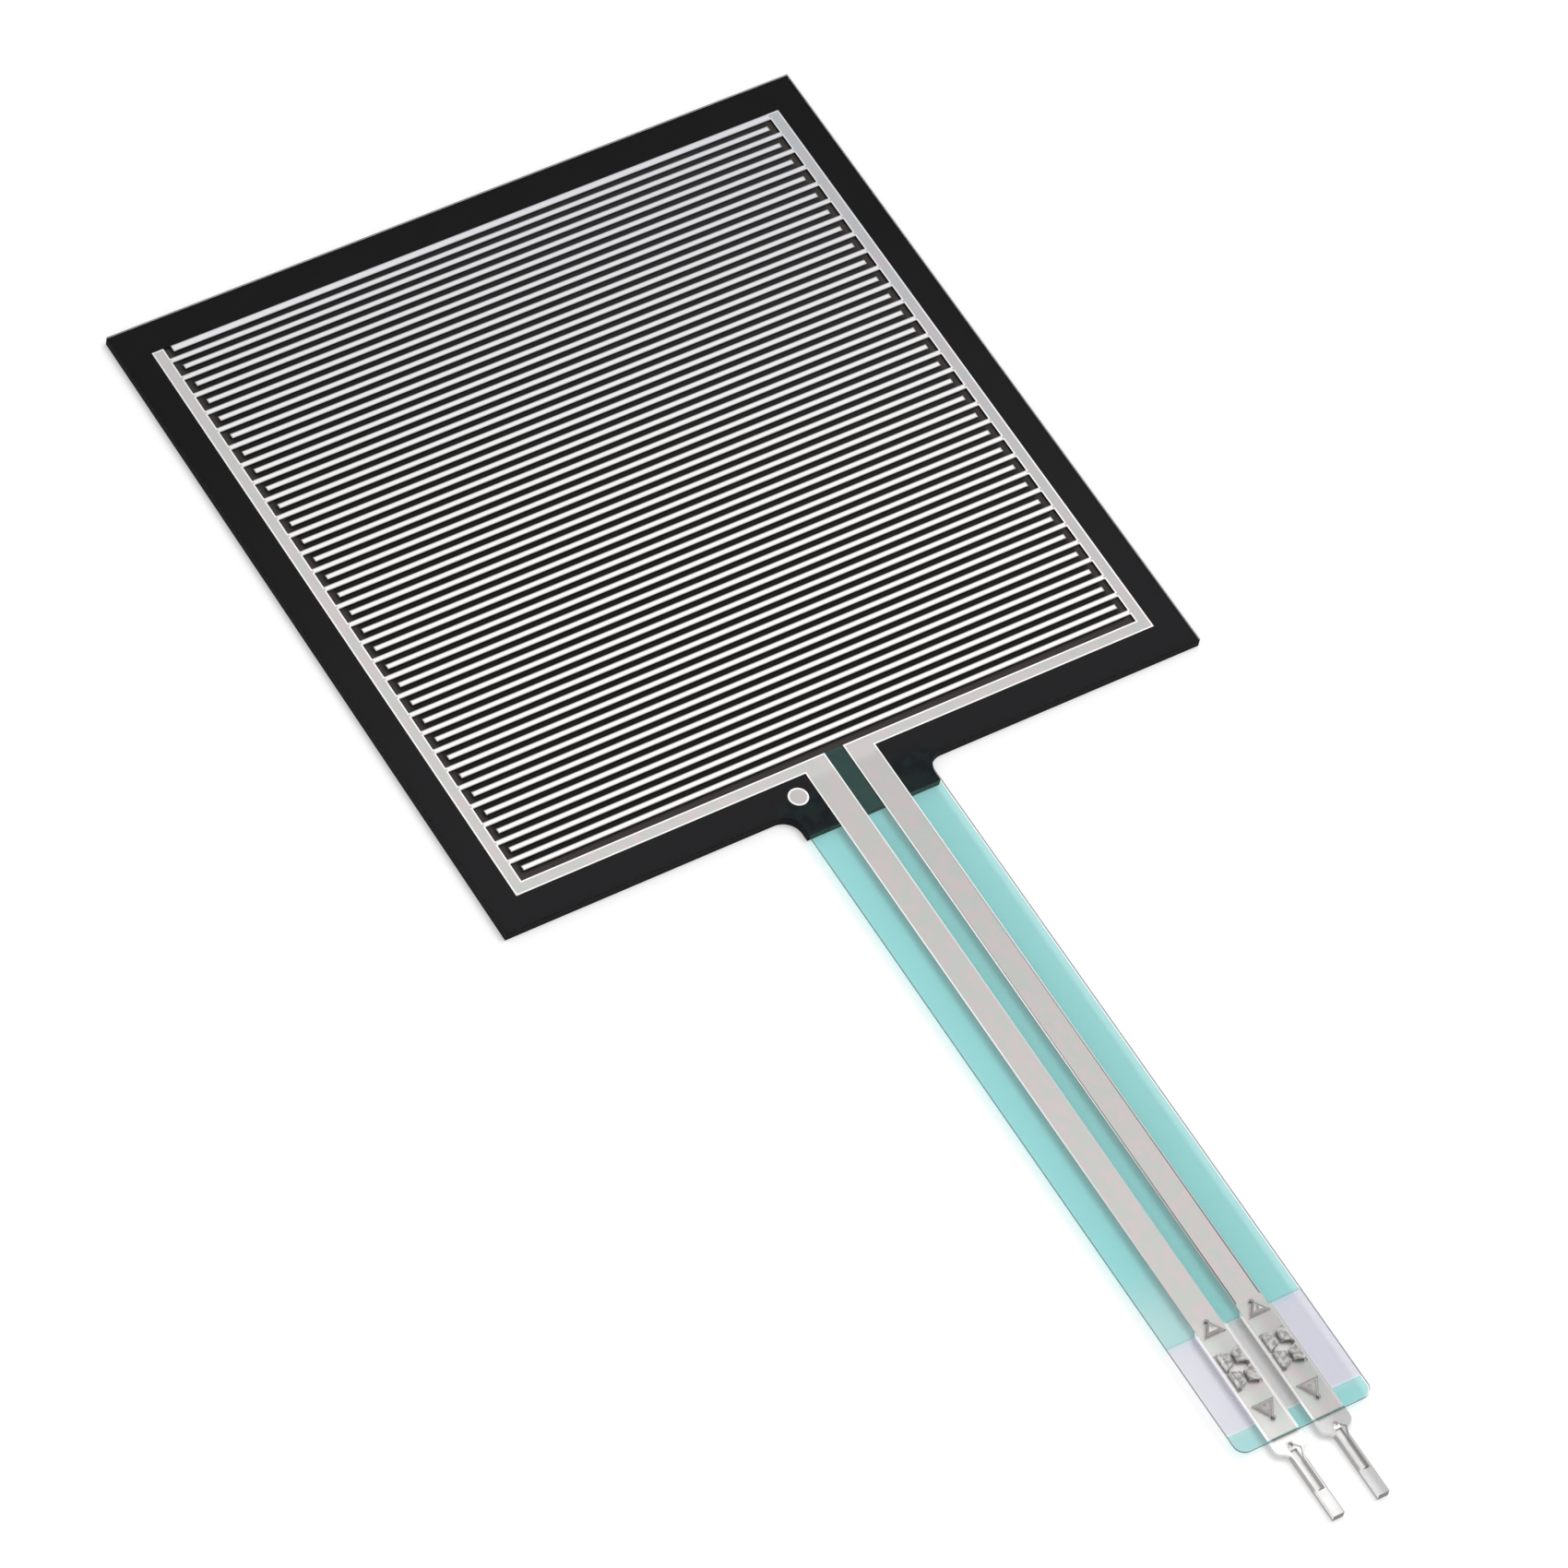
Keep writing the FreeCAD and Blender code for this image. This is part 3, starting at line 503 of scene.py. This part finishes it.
def place_piece(name, form, finishes, node):
    """A finished piece that stands for a solid and rides on the part."""
    mesh = bpy.data.meshes.new(name)
    form.normal_update()
    form.to_mesh(mesh)
    form.free()
    for material in finishes:
        mesh.materials.append(material)
    piece = bpy.data.objects.new(name, mesh)
    bpy.context.scene.collection.objects.link(piece)
    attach(piece, "root")
    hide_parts(node)


def silver_print(name, node, highlight_mm, finish):
    """A printed shape whose outline is marked, so that a painted highlight can run along it."""
    form = merged(node)
    edge_highlight = form.verts.layers.float.new("edge_highlight")
    everything = list(form.verts) + list(form.edges) + list(form.faces)
    bmesh.ops.bisect_plane(form, geom=everything, plane_co=(0, HIGHLIGHT_END * MM, 0), plane_no=(0, 1, 0))
    tops = [face for face in form.faces
            if face.normal.z > 0.9 and face.calc_center_median().y > HIGHLIGHT_END * MM]
    rim = bmesh.ops.inset_region(form, faces=tops, thickness=highlight_mm * MM,
                                 use_even_offset=True, use_boundary=True)["faces"]
    inner = set(corner for face in tops for corner in face.verts)
    for corner in set(corner for face in rim for corner in face.verts) - inner:
        corner[edge_highlight] = 1.0 if corner.co.y > (HIGHLIGHT_END + 0.001) * MM else 0.0
    place_piece(name, form, [finish], node)


def teal_print(name, node, plate_level_mm, finish):
    """Teal ink lies a hair under the silver, and clear of the tops of the plates."""
    form = merged(node)
    move_level(form, PRINT_TOP, PRINT_TOP - HAIR)
    move_level(form, PLATE_TOP, plate_level_mm)
    place_piece(name, form, [finish], node)


def build_prints():
    silver = silver_ink()
    silver_print("left_silver_comb", "left_electrode", 0.09, silver)
    silver_print("right_silver_comb", "right_electrode", 0.09, silver)
    silver_print("silver_dot", "registration_dot", 0.13, silver)
    teal_print("teal_cover", "tail_dielectric", PLATE_TOP - HAIR,
               teal_ink("teal_ink", rgb(0.763, 0.974, 0.973)))
    teal_print("teal_end_band", "end_dielectric", PLATE_TOP + HAIR,
               teal_ink("pale_teal_ink", rgb(0.773, 0.98, 0.983)))


def build_film():
    """The clear sheet, with one finish for its cut outline and one for the pierced slits."""
    form = merged("electrode_film")
    move_level(form, PRINT_TOP, PRINT_TOP + 1.5 * HAIR)
    for face in form.faces:
        middle = face.calc_center_median() / MM
        pierced = abs(middle.x) < 2 * TRACE_MIDDLE and FILM_END + 0.1 < middle.y < PLATE_END
        face.material_index = SHEET
        if abs(face.normal.z) < 0.5:
            face.material_index = SLIT if pierced else CUT_OUTLINE
    place_piece("clear_top_film", form, [clear_film(), cut_film(), pierced_film()],
                "electrode_film")


def edge_finish(face):
    """The finish that a face of a terminal takes: tin, or one of the bare edges."""
    middle = face.calc_center_median() / MM
    low = middle.z < PLATE_TOP + 0.01
    in_channel = abs(abs(middle.x) - TRACE_MIDDLE) < 0.25 and middle.y > PIN_END + 0.42
    if abs(face.normal.z) >= 0.6:
        return TIN
    if face.normal.y < -0.8 and middle.y < PIN_END + 0.3:
        return CUT_END
    if abs(face.normal.y) > 0.2 and not low:
        return TORN_EDGE
    if low and not in_channel:
        return PIN_EDGE if middle.y < PIN_START else PLATE_EDGE
    return TIN


def build_terminals():
    """The crimped terminals, tinned on their faces and bare where the press cut them."""
    smooth = rgb(0.93, 0.92, 0.915)
    dull_and_shaded = rgb(0.42, 0.41, 0.40)
    dark = rgb(0.25, 0.24, 0.235)
    finishes = [
        tinned_face(),
        # Painted light: the plates' sheared sides are lighter than the pins', against the shade beside
        # the plates.
        sheared_edge("plate_edge", rgb(0.74, 0.73, 0.72), rgb(0.92, 0.91, 0.90), smooth),
        # The pins' sheared sides are bare metal, painted darker as the shade on the pins' sides.
        sheared_edge("pin_edge", dull_and_shaded, rgb(0.62, 0.61, 0.60), smooth),
        sheared_edge("torn_edge", rgb(0.42, 0.405, 0.395), rgb(0.66, 0.64, 0.625), dull_and_shaded),
        sheared_edge("cut_end", rgb(0.24, 0.23, 0.225), rgb(0.40, 0.385, 0.375), dark),
    ]
    for side in ("left", "right"):
        form = merged(side + "_terminal")
        for face in form.faces:
            face.material_index = edge_finish(face)
        place_piece(side + "_crimped_terminal", form, finishes, side + "_terminal")


def finish_solids():
    """The layers whose solids are right as they are take a finish only."""
    for node, material in (("release_liner", liner_paper()), ("rear_adhesive", hazy_glue()),
                           ("backing_film", black_film()), ("carbon_layer", carbon_ink()),
                           ("spacer_adhesive", black_adhesive())):
        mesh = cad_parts[node].data
        mesh.materials.clear()
        mesh.materials.append(material)


# ---- Table, light and camera ----

def build_table():
    """A wide flat table just under the part."""
    form = bmesh.new()
    bmesh.ops.create_grid(form, x_segments=1, y_segments=1, size=2.0)
    bmesh.ops.translate(form, verts=form.verts, vec=(0, 0, -0.01 * MM))
    mesh = bpy.data.meshes.new("table")
    form.to_mesh(mesh)
    form.free()
    mesh.materials.append(white_table())
    table = bpy.data.objects.new("table", mesh)
    bpy.context.scene.collection.objects.link(table)


def soft_lamp(name, place, width, watts):
    """A square lamp that looks at the middle of the object."""
    light = bpy.data.lights.new(name, "AREA")
    light.shape = "SQUARE"
    light.size = width
    light.energy = watts
    lamp = bpy.data.objects.new(name, light)
    lamp.location = place
    middle = Vector((0.0, -0.02, 0.0))
    lamp.rotation_euler = (middle - Vector(place)).to_track_quat("-Z", "Y").to_euler()
    bpy.context.scene.collection.objects.link(lamp)


def build_light():
    """Two soft lamps in a white studio."""
    soft_lamp("key_lamp", (0.26, -0.02, 0.65), width=0.36, watts=1.95)
    soft_lamp("fill_lamp", (-0.30, -0.30, 0.60), width=0.40, watts=0.35)
    world = bpy.data.worlds.new("studio")
    world.use_nodes = True
    bpy.context.scene.world = world
    f = Finish(world.node_tree)
    sky = f.add("ShaderNodeBackground", Color=rgb(1, 1, 1), Strength=0.6 + f.seen() * 0.4)
    f.add("ShaderNodeOutputWorld", Surface=sky.outputs[0])


def build_camera():
    """A long lens that looks down on the part from the foot of its left side, rolled a little."""
    data = bpy.data.cameras.new("camera")
    data.lens = 202.507
    data.sensor_width = 36.0
    camera = bpy.data.objects.new("camera", data)
    place = Vector((-169.397, -207.665, 348.760)) * MM
    aim = Vector((-3.266, -18.278, 0.4)) * MM
    roll = Quaternion((0, 0, 1), radians(12.455))
    camera.location = place
    camera.rotation_euler = ((aim - place).to_track_quat("-Z", "Y") @ roll).to_euler()
    bpy.context.scene.collection.objects.link(camera)
    bpy.context.scene.camera = camera


finish_solids()
build_prints()
build_film()
build_terminals()
build_table()
build_light()
build_camera()
bpy.context.scene.view_settings.view_transform = "Standard"
